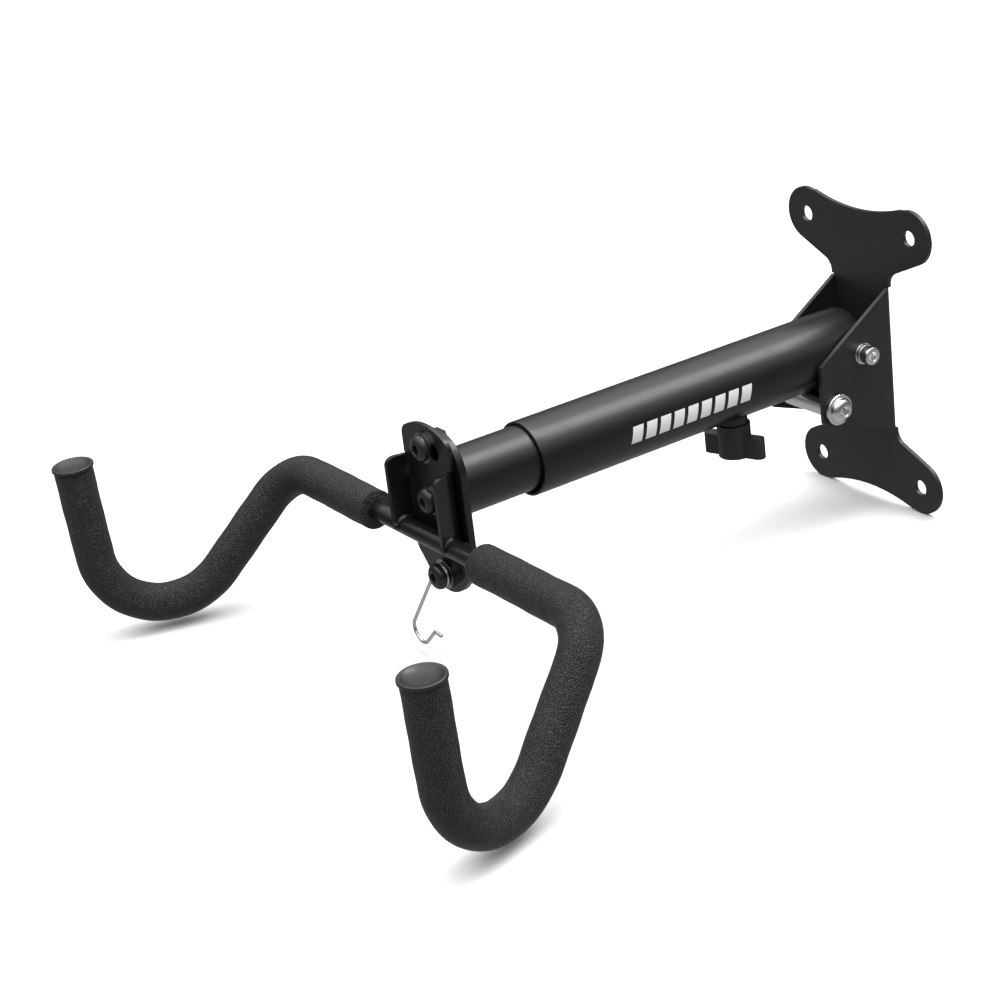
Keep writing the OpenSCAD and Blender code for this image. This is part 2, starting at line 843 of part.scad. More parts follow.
module end_cap(s) {
    dir = [s * tip_dir[0], tip_dir[1], tip_dir[2]];
    side = unit(cross(dir, [1, 0, 0]));
    dish = 1.3;
    frame_at([s * foam_end[0], foam_end[1], foam_end[2]], cross(side, dir), side, dir)
        rotate_extrude()
            polygon(concat(
                [[0, -cap_sink], [rod_r + slip, -cap_sink], [rod_r + slip, -cap_socket],
                 [rod_r + slip + cap_wall, -cap_socket], [rod_r + slip + cap_wall, 0]],
                [[cap_r - 0.5, 0]],
                arc([cap_r - 0.8, cap_t - 0.8], 0.8, 0, 90, 6),
                [for (i = [0:6]) [(cap_r - 1.8) * cos(15 * i), cap_t - 0.2 - dish * sin(15 * i)]]));
}

module left_end_cap() {
    color("#2b2c2d")
    end_cap(-1);
}

module right_end_cap() {
    color("#2b2c2d")
    end_cap(1);
}

// The wire hook lies in a plane of constant y; u runs across its shank and v down it
module wire_hook() {
    ring = head_bolt_r + side_gap + wire_d / 2;
    r = wire_d / 2;
    right = wire_bend_w - ring;
    lip = wire_lip / sqrt(2);
    path = [[-ring, 0], [-ring, wire_len + 6], [right, wire_len + 6],
            [right + 3, wire_len - wire_rise], [right + 3 + lip, wire_len - wire_rise - 3]];
    color("#d0d1d3")
    translate([0, wire_y, hook_bolt_z])
        rotate([0, wire_angle, 0]) {
            bent_bar([for (p = path) [p[0], 0, -p[1]]], [6, 6, 2], r);
            rotate([90, 0, 0])
                rotate([0, 0, 180 - 310])
                    rotate_extrude(angle = 310 + lap / ring * 180 / PI)
                        translate([ring, 0])
                            circle(r - step);
        }
}

wall_bracket();
pivot_bolt();
pivot_washers();
pivot_nut();
support_bolt();
support_sleeve();
support_washers();
support_nut();
outer_tube();
pivot_sleeve();
clamp_boss();
clamp_pad();
clamp_stud();
clamp_knob();
inner_tube();
head_plate();
head_weld();
slot_bolt();
tilt_bolt();
hook_bolt();
head_washers();
head_nuts();
cradle_bracket();
hook_rod();
cradle_welds();
left_foam_sleeve();
right_foam_sleeve();
left_end_cap();
right_end_cap();
wire_hook();
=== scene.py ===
import math

import bmesh
import bpy
import numpy as np
from mathutils import Matrix, Vector


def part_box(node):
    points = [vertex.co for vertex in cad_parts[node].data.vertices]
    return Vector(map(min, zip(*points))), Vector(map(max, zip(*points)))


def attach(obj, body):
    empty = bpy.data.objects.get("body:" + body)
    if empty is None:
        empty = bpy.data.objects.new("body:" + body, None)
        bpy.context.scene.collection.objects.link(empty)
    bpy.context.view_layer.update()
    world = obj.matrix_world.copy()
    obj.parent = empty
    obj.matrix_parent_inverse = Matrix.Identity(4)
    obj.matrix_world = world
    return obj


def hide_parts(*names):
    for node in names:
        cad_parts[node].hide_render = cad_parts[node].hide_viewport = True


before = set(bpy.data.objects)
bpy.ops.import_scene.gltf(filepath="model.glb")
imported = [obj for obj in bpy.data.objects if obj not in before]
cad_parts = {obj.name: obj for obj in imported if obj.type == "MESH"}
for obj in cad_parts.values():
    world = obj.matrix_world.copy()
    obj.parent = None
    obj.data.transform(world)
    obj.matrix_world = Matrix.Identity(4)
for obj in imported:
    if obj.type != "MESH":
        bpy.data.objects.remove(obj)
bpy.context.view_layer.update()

scene = bpy.context.scene
scene.view_settings.view_transform = "Standard"


# The camera looks down on the rack from in front and to the right of it. It is
# rolled a little, so the arm climbs to the right across the picture.
camera_place = Vector((0.9426, -0.8363, 0.4624))
camera_azimuth, camera_elevation, camera_roll = map(math.radians, (58.28, 22.85, -7.12))

camera_back = Vector((math.sin(camera_azimuth) * math.cos(camera_elevation),
                      -math.cos(camera_azimuth) * math.cos(camera_elevation),
                      math.sin(camera_elevation)))
level_right = Vector((math.cos(camera_azimuth), math.sin(camera_azimuth), 0))
level_up = camera_back.cross(level_right)
camera_right = level_right * math.cos(camera_roll) + level_up * math.sin(camera_roll)
camera_up = level_up * math.cos(camera_roll) - level_right * math.sin(camera_roll)
camera_data = bpy.data.cameras.new("camera")
camera_data.sensor_width = 36
camera_data.lens = 84.74
camera = bpy.data.objects.new("camera", camera_data)
scene.collection.objects.link(camera)
turn = Matrix((camera_right, camera_up, camera_back)).transposed().to_4x4()
camera.matrix_world = Matrix.Translation(camera_place) @ turn
scene.camera = camera


# Wall bracket: one steel sheet cut to an hourglass with four ears, its two cheeks bent
# forward, then powder coated satin black. The cut edges stay slightly rounded, and the
# coat has a very fine orange peel.
black_coat_colour = (0.0175, 0.0176, 0.0183, 1)
bracket_edge = 0.00045


def powder_coat(name, colour, roughness, peel=0.00002, edge=0.0004):
    """Satin paint: the roughness and colour drift in slow clouds and the bump is fine noise
    (orange peel). Where edge is above zero, the shading rounds edges by that radius."""
    m = bpy.data.materials.new(name)
    m.use_nodes = True
    nodes, links = m.node_tree.nodes, m.node_tree.links
    shader = nodes["Principled BSDF"]
    place = nodes.new("ShaderNodeTexCoord")

    def noise(scale, detail):
        n = nodes.new("ShaderNodeTexNoise")
        n.inputs["Scale"].default_value = scale
        n.inputs["Detail"].default_value = detail
        links.new(place.outputs["Object"], n.inputs["Vector"])
        return n.outputs["Fac"]

    def spread(value, low, high):
        r = nodes.new("ShaderNodeMapRange")
        r.inputs["From Min"].default_value = 0.3
        r.inputs["From Max"].default_value = 0.7
        r.inputs["To Min"].default_value = low
        r.inputs["To Max"].default_value = high
        links.new(value, r.inputs["Value"])
        return r.outputs["Result"]

    clouds = noise(38, 4)
    ramp = nodes.new("ShaderNodeValToRGB")
    ramp.color_ramp.elements[0].position = 0.25
    ramp.color_ramp.elements[1].position = 0.75
    ramp.color_ramp.elements[0].color = tuple(c * 0.85 for c in colour[:3]) + (1,)
    ramp.color_ramp.elements[1].color = tuple(c * 1.18 for c in colour[:3]) + (1,)
    links.new(clouds, ramp.inputs["Fac"])
    links.new(ramp.outputs["Color"], shader.inputs["Base Color"])
    links.new(spread(noise(90, 5), roughness - 0.025, roughness + 0.03), shader.inputs["Roughness"])
    shader.inputs["IOR"].default_value = 1.5
    fine = noise(1500, 2)
    bump = nodes.new("ShaderNodeBump")
    bump.inputs["Strength"].default_value = 0.5
    bump.inputs["Distance"].default_value = peel
    links.new(fine, bump.inputs["Height"])
    if edge:
        rounding = nodes.new("ShaderNodeBevel")
        rounding.samples = 6
        rounding.inputs["Radius"].default_value = edge
        links.new(rounding.outputs["Normal"], bump.inputs["Normal"])
    links.new(bump.outputs["Normal"], shader.inputs["Normal"])
    return m


def sheet_part(name, node, body, edge, coat, steps=2):
    """A copy of a solid: its loose triangles are merged, flat faces are made whole again,
    and every sharp edge gets a small rounding. Weighted normals keep the flats flat."""
    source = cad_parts[node]
    me = source.data.copy()
    me.name = name
    shape = bmesh.new()
    shape.from_mesh(me)
    bmesh.ops.remove_doubles(shape, verts=shape.verts, dist=2e-6)
    bmesh.ops.dissolve_limit(shape, angle_limit=math.radians(0.4), verts=shape.verts,
                             edges=shape.edges)
    sharp = [e for e in shape.edges if len(e.link_faces) == 2
             and e.calc_face_angle(0) > math.radians(38)]
    bmesh.ops.bevel(shape, geom=sharp, offset=edge, offset_type="OFFSET", segments=steps,
                    profile=0.6, affect="EDGES", clamp_overlap=True)
    for f in shape.faces:
        f.smooth = True
    shape.to_mesh(me)
    shape.free()
    me.set_sharp_from_angle(angle=math.radians(40))
    me.materials.clear()
    me.materials.append(coat)
    o = bpy.data.objects.new(name, me)
    scene.collection.objects.link(o)
    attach(o, body)
    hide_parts(node)
    flats = o.modifiers.new("flat_faces", "WEIGHTED_NORMAL")
    flats.weight = 100
    flats.keep_sharp = True
    return o


bracket_coat = powder_coat("satin_black_bracket", black_coat_colour, 0.36)
sheet_part("bent_wall_bracket", "wall_bracket", "bracket", bracket_edge, bracket_coat)


# Arm: two round steel tubes, one sliding in the other. The outer one is 40 mm with its
# sawn mouth deburred; the inner one is 35 mm and is pushed up against it by the clamp.
# Both have the same black coat, a little smoother on the tubes than on the sheet.
outer_low, outer_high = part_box("outer_tube")
inner_low, inner_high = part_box("inner_tube")
tube_radius = (outer_high.x - outer_low.x) / 2
tube_wall = 0.0015
inner_radius = (inner_high.x - inner_low.x) / 2


def mesh_piece(name, grids, body, slot, material, *replaced, smooth=38):
    """One object from several grids of points. Each grid is (points, wrap_u, wrap_v) with
    points of shape (rows, columns, 3); neighbours are joined by quads, doubles are merged
    and all faces are turned outwards."""
    verts, faces, start = [], [], 0
    for points, wrap_u, wrap_v in grids:
        nu, nv = points.shape[:2]
        index = start + np.arange(nu * nv).reshape(nu, nv)
        if wrap_u:
            index = np.vstack([index, index[:1]])
        if wrap_v:
            index = np.hstack([index, index[:, :1]])
        quads = np.stack([index[:-1, :-1], index[1:, :-1], index[1:, 1:], index[:-1, 1:]], -1)
        verts.append(points.reshape(-1, 3))
        faces.append(quads.reshape(-1, 4))
        start += nu * nv
    me = bpy.data.meshes.new(name)
    me.from_pydata(np.vstack(verts).tolist(), [], np.vstack(faces).tolist())
    shape = bmesh.new()
    shape.from_mesh(me)
    bmesh.ops.remove_doubles(shape, verts=shape.verts, dist=1e-6)
    bmesh.ops.dissolve_degenerate(shape, dist=1e-7, edges=shape.edges)
    bmesh.ops.recalc_face_normals(shape, faces=shape.faces)
    for f in shape.faces:
        f.smooth = True
    shape.to_mesh(me)
    shape.free()
    me.set_sharp_from_angle(angle=math.radians(smooth))
    me.materials.append(material)
    o = bpy.data.objects.new(name, me)
    scene.collection.objects.link(o)
    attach(o, body)
    if replaced:
        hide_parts(*replaced)
    return o


def turned(profile, centre, axis, across=(0, 0, 1), steps=96, radius_of=None):
    """A profile of (distance along the axis, radius) carried once round the axis. Where
    radius_of is given, the radius is that function of (row, angle, radius)."""
    axis = np.array(axis, float) / np.linalg.norm(axis)
    u = np.array(across, float)
    u = u - axis * (u @ axis)
    u /= np.linalg.norm(u)
    v = np.cross(axis, u)
    p = np.array(profile, float)
    angle = np.arange(steps) * 2 * math.pi / steps
    r = np.repeat(p[:, 1:2], steps, 1)
    if radius_of is not None:
        r = radius_of(np.arange(len(p))[:, None], angle[None, :], r)
    ring = np.cos(angle)[None, :, None] * u + np.sin(angle)[None, :, None] * v
    points = np.array(centre, float) + p[:, :1, None] * axis + r[..., None] * ring
    return points, False, True


def tube_profile(start, end, outer, wall, round_over):
    """A closed wall section from start to end: outside, rounded lip, inside, rounded lip."""
    a = np.linspace(0, math.pi / 2, 5)
    out = [(start + round_over * (1 - math.sin(t)), outer - round_over * (1 - math.cos(t)))
           for t in a[::-1]]
    out += [(s, outer) for s in np.linspace(start, end, 40)[1:-1]]
    out += [(end - round_over * (1 - math.sin(t)), outer - round_over * (1 - math.cos(t)))
            for t in a[::-1]][::-1]
    inside = outer - wall
    out += [(end - round_over * (1 - math.cos(t)), inside + round_over * (1 - math.sin(t)))
            for t in a]
    out += [(start + round_over * (1 - math.cos(t)), inside + round_over * (1 - math.sin(t)))
            for t in a[::-1]]
    return out + out[:1]


tube_coat = powder_coat("satin_black_tube", (0.008, 0.0081, 0.0084, 1), 0.3,
                        peel=0.000012, edge=0)
axis_height = (outer_high.z + outer_low.z) / 2
mesh_piece("outer_arm_tube",
           [turned(tube_profile(-outer_high.y, -outer_low.y, tube_radius, tube_wall, 0.0004),
                   (0, 0, axis_height), (0, -1, 0), steps=160)],
           "outer_arm", "black_steel", tube_coat, "outer_tube")
mesh_piece("inner_arm_tube",
           [turned(tube_profile(-inner_high.y, -inner_low.y, inner_radius, tube_wall, 0.0003),
                   (0, 0, (inner_high.z + inner_low.z) / 2), (0, -1, 0), steps=160)],
           "inner_arm", "black_steel", tube_coat, "inner_tube")


# Printed mark: a plain row of slanted white bars on the side of the outer tube, printed
# on the cured coat. It is a thin film of ink that follows the tube.
mark_start, mark_end = 0.1005, 0.1830
mark_low, mark_high = math.radians(-13), math.radians(13)
bar_count, bar_lean, half_gap, ink_film = 9, 0.0022, 0.0012, 0.00004


def printed_bar(first, last):
    """A patch of the tube's surface between two distances and the mark's two angles. Its
    points lean along the tube by a share of their height, so the bar slants."""
    t = np.linspace(0, 1, 9)[:, None]
    h = np.linspace(0, 1, 13)[None, :]
    angle = mark_low + (mark_high - mark_low) * h
    along = first + (last - first) * t - bar_lean * h
    r = tube_radius + ink_film
    return np.stack([r * np.cos(angle) + 0 * along, -along + 0 * angle,
                     axis_height + r * np.sin(angle) + 0 * along], -1), False, False


ink = bpy.data.materials.new("white_ink")
ink.use_nodes = True
ink_shader = ink.node_tree.nodes["Principled BSDF"]
ink_place = ink.node_tree.nodes.new("ShaderNodeTexCoord")
ink_cloud = ink.node_tree.nodes.new("ShaderNodeTexNoise")
ink_cloud.inputs["Scale"].default_value = 900
ink_ramp = ink.node_tree.nodes.new("ShaderNodeValToRGB")
ink_ramp.color_ramp.elements[0].color = (0.9, 0.9, 0.9, 1)
ink_ramp.color_ramp.elements[1].color = (0.98, 0.98, 0.98, 1)
ink.node_tree.links.new(ink_place.outputs["Object"], ink_cloud.inputs["Vector"])
ink.node_tree.links.new(ink_cloud.outputs["Fac"], ink_ramp.inputs["Fac"])
ink.node_tree.links.new(ink_ramp.outputs["Color"], ink_shader.inputs["Base Color"])
ink_shader.inputs["Roughness"].default_value = 0.45
bar_edges = np.linspace(mark_start, mark_end, bar_count + 1)
mesh_piece("printed_bars",
           [printed_bar(a + half_gap, b - half_gap)
            for a, b in zip(bar_edges[:-1], bar_edges[1:])],
           "outer_arm", "black_steel", ink)


# Head plate: a flat cut plate welded across the end of the inner tube, with three bolts
# through it. The cradle bracket in front of it is folded from thinner sheet and tilts on
# the middle bolt; the top bolt runs in its arc slot.
head_coat = powder_coat("satin_black_head", (0.007, 0.0071, 0.0074, 1), 0.24)
sheet_part("cut_head_plate", "head_plate", "inner_arm", 0.0005, head_coat)
sheet_part("folded_cradle_bracket", "cradle_bracket", "cradle", 0.00045, head_coat)


def coat_solids(material, *nodes):
    """Gives the solids that are shown as they are one material."""
    for node in nodes:
        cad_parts[node].data.materials.clear()
        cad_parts[node].data.materials.append(material)


coat_solids(head_coat, "head_weld", "cradle_welds", "clamp_boss", "hook_rod")


# Weld lumps: each flange of the cradle bracket ends in a small smooth lump of weld where
# its front corner meets the rod.
def weld_lump(centre, size, turn):
    """A squashed ball with slow bulges, one grid from pole to pole."""
    t = np.linspace(0.001, math.pi - 0.001, 14)[:, None]
    a = (np.arange(24) * 2 * math.pi / 24)[None, :]
    r = 1 + 0.1 * np.sin(3 * a + turn) * np.sin(t) + 0.08 * np.sin(2 * t + turn)
    ball = np.stack([r * np.sin(t) * np.cos(a), r * np.sin(t) * np.sin(a),
                     r * np.cos(t) + 0 * a], -1)
    return np.array(centre) + ball * np.array(size), False, True


flange_low, flange_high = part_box("cradle_bracket")
lump_size, lump_turn = (0.0021, 0.0019, 0.0023), 1.3
for name, side in (("left_weld_lump", -1), ("right_weld_lump", 1)):
    at = (side * (flange_high.x - 0.0020), flange_low.y + 0.0014, flange_low.z + 0.0028)
    mesh_piece(name, [weld_lump(at, lump_size, lump_turn * side)], "cradle",
               "black_steel", head_coat)


# Screws: three black ones with button heads at the head of the arm; through the wall
# bracket a bright zinc one with a cylinder head and one with a flanged dome. Each is
# turned in one piece and has a hexagon socket. The plain washers and nuts are the solids
# as they are, in a plated or blacked finish.
def plated(name, colour, roughness, metallic=1.0):
    """Plated or blacked steel: slow stains drive the roughness and let the colour drift a
    little, and a very fine grain drives the bump."""
    m = bpy.data.materials.new(name)
    m.use_nodes = True
    nodes, links = m.node_tree.nodes, m.node_tree.links
    shader = nodes["Principled BSDF"]
    place = nodes.new("ShaderNodeTexCoord")
    stain = nodes.new("ShaderNodeTexNoise")
    stain.inputs["Scale"].default_value = 260
    stain.inputs["Detail"].default_value = 5
    links.new(place.outputs["Object"], stain.inputs["Vector"])
    ramp = nodes.new("ShaderNodeValToRGB")
    ramp.color_ramp.elements[0].color = tuple(c * 0.82 for c in colour) + (1,)
    ramp.color_ramp.elements[1].color = tuple(min(1, c * 1.1) for c in colour) + (1,)
    links.new(stain.outputs["Fac"], ramp.inputs["Fac"])
    links.new(ramp.outputs["Color"], shader.inputs["Base Color"])
    rough = nodes.new("ShaderNodeMapRange")
    rough.inputs["To Min"].default_value = roughness * 0.7
    rough.inputs["To Max"].default_value = roughness * 1.35
    links.new(stain.outputs["Fac"], rough.inputs["Value"])
    links.new(rough.outputs["Result"], shader.inputs["Roughness"])
    shader.inputs["Metallic"].default_value = metallic
    grain = nodes.new("ShaderNodeTexNoise")
    grain.inputs["Scale"].default_value = 2600
    links.new(place.outputs["Object"], grain.inputs["Vector"])
    bump = nodes.new("ShaderNodeBump")
    bump.inputs["Strength"].default_value = 0.35
    bump.inputs["Distance"].default_value = 0.00001
    links.new(grain.outputs["Fac"], bump.inputs["Height"])
    links.new(bump.outputs["Normal"], shader.inputs["Normal"])
    return m


def hex_radius(flats, angle):
    """Distance from a hexagon's centre to its side at an angle, for that width across flats."""
    return flats / 2 / np.cos((angle + math.pi / 6) % (math.pi / 3) - math.pi / 6)


def screw(head, shank_radius, shank_end, socket, depth, centre, axis, across=(0, 0, 1)):
    """A turned head profile with a hexagonal socket cut in its top: rows in the socket
    take the hexagon's radius, and rows on the shank and head are round. The profile runs
    from the shank's tip out to the head's rim and in to the socket's floor."""
    top = max(p[0] for p in head)
    flat = socket / 2
    rows = [(shank_end, 0), (shank_end, shank_radius - 0.0006),
            (shank_end + 0.0006, shank_radius), (0, shank_radius)]
    rows += [(0, head[0][1])] + list(head)
    hexed = len(rows)
    rows += [(top, flat * 1.22), (top - 0.0004, flat), (top - depth, flat),
             (top - depth - 0.0006, 0.0)]

    def radius_of(row, angle, r):
        shaped = hex_radius(socket, angle) + 0 * r
        in_socket = (row == hexed + 1) | (row == hexed + 2)
        return np.where(in_socket, shaped, r)

    return turned(rows, centre, axis, across, 96, radius_of)


def button_head(radius, height, socket):
    """A low dome: a short straight rim, then a quarter ellipse up to the socket's edge."""
    t = np.linspace(0, math.pi / 2, 12)
    inner = socket / 2 * 1.28
    rim = height * 0.22
    dome = [(rim + (height - rim) * math.sin(a), inner + (radius - inner) * math.cos(a))
            for a in t]
    return [(0.0002, radius - 0.0001), (0.0004, radius)] + dome


def cylinder_head(radius, height):
    """A straight head with a rounded top edge."""
    t = np.linspace(0, math.pi / 2, 6)
    c = radius * 0.14
    return [(0.0, radius - 0.0002), (0.0002, radius)] + [
        (height - c + c * math.sin(a), radius - c + c * math.cos(a)) for a in t]


black_oxide = plated("black_oxide_steel", (0.035, 0.035, 0.037), 0.13, metallic=0.35)
washer_steel = plated("dark_washer_steel", (0.3, 0.3, 0.31), 0.2)
bright_zinc = plated("bright_zinc_plate", (0.78, 0.78, 0.8), 0.13)
bolt_radius = 0.004
button_radius, button_height, button_socket, button_depth = 0.007, 0.0044, 0.005, 0.0024
socket_turn = 0.4
for name, node in (("slot_screw", "slot_bolt"), ("tilt_screw", "tilt_bolt"),
                   ("small_hook_screw", "hook_bolt")):
    low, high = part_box(node)
    seat = -low.y - button_height
    at = (0, -seat, (low.z + high.z) / 2)
    grid = screw(button_head(button_radius, button_height, button_socket), bolt_radius,
                 -(seat + high.y), button_socket, button_depth, at, (0, -1, 0),
                 across=(math.sin(socket_turn), 0, math.cos(socket_turn)))
    mesh_piece(name, [grid], "inner_arm", "black_oxide", black_oxide, node, smooth=30)

coat_solids(washer_steel, "head_washers")
coat_solids(black_oxide, "head_nuts")

pivot_low, pivot_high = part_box("pivot_bolt")
pivot_head, pivot_radius = 0.006, 0.003
zinc_socket, zinc_depth = 0.005, 0.003
pivot_at = (pivot_high.x - pivot_head, (pivot_low.y + pivot_high.y) / 2,
            (pivot_low.z + pivot_high.z) / 2)
mesh_piece("pivot_screw",
           [screw(cylinder_head(0.005, pivot_head), pivot_radius, pivot_low.x - pivot_at[0],
                  zinc_socket, zinc_depth, pivot_at, (1, 0, 0), across=(0, 0.3, 1))],
           "bracket", "zinc", bright_zinc, "pivot_bolt", smooth=30)
support_low, support_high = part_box("support_bolt")
support_head = 0.0056
support_at = (support_high.x - support_head, (support_low.y + support_high.y) / 2,
              (support_low.z + support_high.z) / 2)
flange = [(0.0, 0.0086), (0.0003, 0.0088), (0.0011, 0.0088), (0.0016, 0.0084), (0.0017, 0.0071)]
support_dome = [(0.0017 + (support_head - 0.0017) * math.sin(t), 0.0032 + 0.0038 * math.cos(t))
                for t in np.linspace(0.05, math.pi / 2, 12)]
mesh_piece("support_screw",
           [screw(flange + support_dome, bolt_radius, support_low.x - support_at[0],
                  zinc_socket, zinc_depth, support_at, (1, 0, 0), across=(0, 0.1, 1))],
           "bracket", "zinc", bright_zinc, "support_bolt", smooth=30)
coat_solids(bright_zinc, "pivot_washers", "pivot_nut", "support_washers", "support_nut",
            "support_sleeve", "pivot_sleeve", "clamp_stud", "clamp_pad")


# Foam sleeves: closed-cell foam tubes pushed over the bent rod, 21 mm thick, with a fine
# grained skin like leather; the creases of the grain carry painted shade. Each starts
# square-cut near the middle and follows the bends out to the hook's tip.
foam_radius, rod_radius = 0.0106, 0.005
foam_start, foam_lip = 0.0495, 0.0006
cap_thick = 0.0022
shoulder_bend, bottom_bend = 0.0265, 0.038
hook_corners = np.array([[foam_start, -0.2984, -0.0122], [0.139, -0.2984, -0.0122],
                         [0.173, -0.4039, -0.1272], [0.174, -0.4099, 0.0158]])


def bent_path(corners, bends, spacing):
    """Points along straight runs joined by circular bends of the given radii, evenly spaced."""
    out = [corners[0]]
    for i in range(1, len(corners) - 1):
        a = corners[i] - corners[i - 1]
        b = corners[i + 1] - corners[i]
        a, b = a / np.linalg.norm(a), b / np.linalg.norm(b)
        angle = math.acos(a @ b)
        inward = (b - a) / np.linalg.norm(b - a)
        middle = corners[i] + inward * bends[i - 1] / math.cos(angle / 2)
        start = corners[i] - a * bends[i - 1] * math.tan(angle / 2)
        end = corners[i] + b * bends[i - 1] * math.tan(angle / 2)
        u, v = (start - middle) / bends[i - 1], (end - middle) / bends[i - 1]
        t = np.linspace(0, 1, 60)[:, None]
        arc = (np.sin((1 - t) * angle) * u + np.sin(t * angle) * v) / math.sin(angle)
        out += list(middle + bends[i - 1] * arc)
    out = np.array(out + [corners[-1]])
    gone = np.concatenate([[0], np.cumsum(np.linalg.norm(np.diff(out, axis=0), axis=1))])
    at = np.linspace(0, gone[-1], max(2, int(gone[-1] / spacing)))
    return np.stack([np.interp(at, gone, out[:, k]) for k in range(3)], 1), at


def path_frames(path):
    """Directions along the path, and two across it that turn as little as they can: each
    pair is the one before, made square to the new direction."""
    along = np.gradient(path, axis=0)
    along /= np.linalg.norm(along, axis=1)[:, None]
    u = np.zeros_like(along)
    side = np.cross(along[0], [0, 0, 1.0] if abs(along[0][2]) < 0.9 else [1.0, 0, 0])
    for i, d in enumerate(along):
        side = side - d * (side @ d)
        side = side / np.linalg.norm(side)
        u[i] = side
    return along, u, np.cross(along, u)


def swept(path, radius, steps, inner=None, lip=0.0006):
    """A round bar along a path; radius is one value per point. With inner, the wall turns
    in at both ends over a small lip and runs back along a bore of that radius."""
    along, u, v = path_frames(path)
    angle = np.arange(steps) * 2 * math.pi / steps
    ring = np.cos(angle)[None, :, None] * u[:, None] + np.sin(angle)[None, :, None] * v[:, None]
    radius = np.broadcast_to(radius, (len(path), steps)) if np.ndim(radius) < 2 else radius
    body = path[:, None] + ring * radius[..., None]

    def end(i, sign):
        rows = []
        for t in np.linspace(0, math.pi / 2, 4)[1:]:
            rows.append(path[i] + sign * along[i] * lip * math.sin(t)
                        + ring[i] * (radius[i] - lip * (1 - math.cos(t)))[:, None])
        centre = path[i] + sign * along[i] * lip
        rows.append(centre + ring[i] * (inner if inner else 0.0))
        return rows

    first, last = end(0, -1)[::-1], end(-1, 1)
    parts = [np.array(first), body, np.array(last)]
    if inner:
        deep = 0.004
        parts.insert(0, np.array([path[0] + along[0] * deep + ring[0] * inner]))
        parts.append(np.array([path[-1] - along[-1] * deep + ring[-1] * inner]))
    return np.concatenate(parts), False, True


foam = bpy.data.materials.new("grained_black_foam")
foam.use_nodes = True
foam_nodes, foam_links = foam.node_tree.nodes, foam.node_tree.links
foam_shader = foam_nodes["Principled BSDF"]
foam_place = foam_nodes.new("ShaderNodeTexCoord")
grain = foam_nodes.new("ShaderNodeTexVoronoi")
grain.feature = "DISTANCE_TO_EDGE"
grain.inputs["Scale"].default_value = 900
grain.inputs["Randomness"].default_value = 1.0
wobble = foam_nodes.new("ShaderNodeTexNoise")
wobble.inputs["Scale"].default_value = 620
wobble.inputs["Detail"].default_value = 4
slow = foam_nodes.new("ShaderNodeTexNoise")
slow.inputs["Scale"].default_value = 55
slow.inputs["Detail"].default_value = 3
stretch = foam_nodes.new("ShaderNodeVectorMath")
stretch.operation = "MULTIPLY_ADD"
stretch.inputs[1].default_value = (0.0007, 0.0007, 0.0007)
foam_links.new(foam_place.outputs["Object"], wobble.inputs["Vector"])
foam_links.new(foam_place.outputs["Object"], slow.inputs["Vector"])
foam_links.new(wobble.outputs["Color"], stretch.inputs[0])
foam_links.new(foam_place.outputs["Object"], stretch.inputs[2])
foam_links.new(stretch.outputs["Vector"], grain.inputs["Vector"])
crease = foam_nodes.new("ShaderNodeMapRange")
crease.inputs["From Max"].default_value = 0.28
foam_links.new(grain.outputs["Distance"], crease.inputs["Value"])
# Painted shade: where the crease value is low, along the grain's creases, this ramp gives a darker
# base colour that stands in for shade in the creases. The creases' relief is real and comes from
# the bump below.
crease_shade_ramp = foam_nodes.new("ShaderNodeValToRGB")
crease_shade_ramp.color_ramp.elements[0].color = (0.006, 0.006, 0.0063, 1)
crease_shade_ramp.color_ramp.elements[1].color = (0.021, 0.021, 0.0215, 1)
foam_links.new(crease.outputs["Result"], crease_shade_ramp.inputs["Fac"])
foam_links.new(crease_shade_ramp.outputs["Color"], foam_shader.inputs["Base Color"])
foam_rough = foam_nodes.new("ShaderNodeMapRange")
foam_rough.inputs["To Min"].default_value = 0.36
foam_rough.inputs["To Max"].default_value = 0.5
foam_links.new(slow.outputs["Fac"], foam_rough.inputs["Value"])
foam_links.new(foam_rough.outputs["Result"], foam_shader.inputs["Roughness"])
coarse = foam_nodes.new("ShaderNodeBump")
coarse.inputs["Strength"].default_value = 0.6
coarse.inputs["Distance"].default_value = 0.0005
foam_links.new(wobble.outputs["Fac"], coarse.inputs["Height"])
fine = foam_nodes.new("ShaderNodeBump")
fine.inputs["Strength"].default_value = 1.0
fine.inputs["Distance"].default_value = 0.0004
foam_links.new(crease.outputs["Result"], fine.inputs["Height"])
foam_links.new(coarse.outputs["Normal"], fine.inputs["Normal"])
foam_links.new(fine.outputs["Normal"], foam_shader.inputs["Normal"])

sleeve_ends = {}
for name, side, node in (("left_foam", -1, "left_foam_sleeve"),
                         ("right_foam", 1, "right_foam_sleeve")):
    corners = hook_corners * [side, 1, 1]
    tip = corners[3] - corners[2]
    tip /= np.linalg.norm(tip)
    foam_end = corners[3] - tip * cap_thick
    corners[3] = foam_end - tip * foam_lip
    corners[0] = corners[0] + np.array([side * foam_lip, 0, 0])
    path, gone = bent_path(corners, [shoulder_bend, bottom_bend], 0.0012)
    angle = np.arange(96) * 2 * math.pi / 96
    swell = 0.00012 * np.sin(gone[:, None] * 95 + 1.7 * np.sin(angle)[None, :] + side)
    swell = swell + 0.00008 * np.sin(gone[:, None] * 310 + 3 * np.cos(angle + 1)[None, :])
    o = mesh_piece(name, [swept(path, foam_radius + swell, 96, rod_radius, foam_lip)],
                   "cradle", "foam", foam, node)
    sleeve_ends[side] = (foam_end, tip)


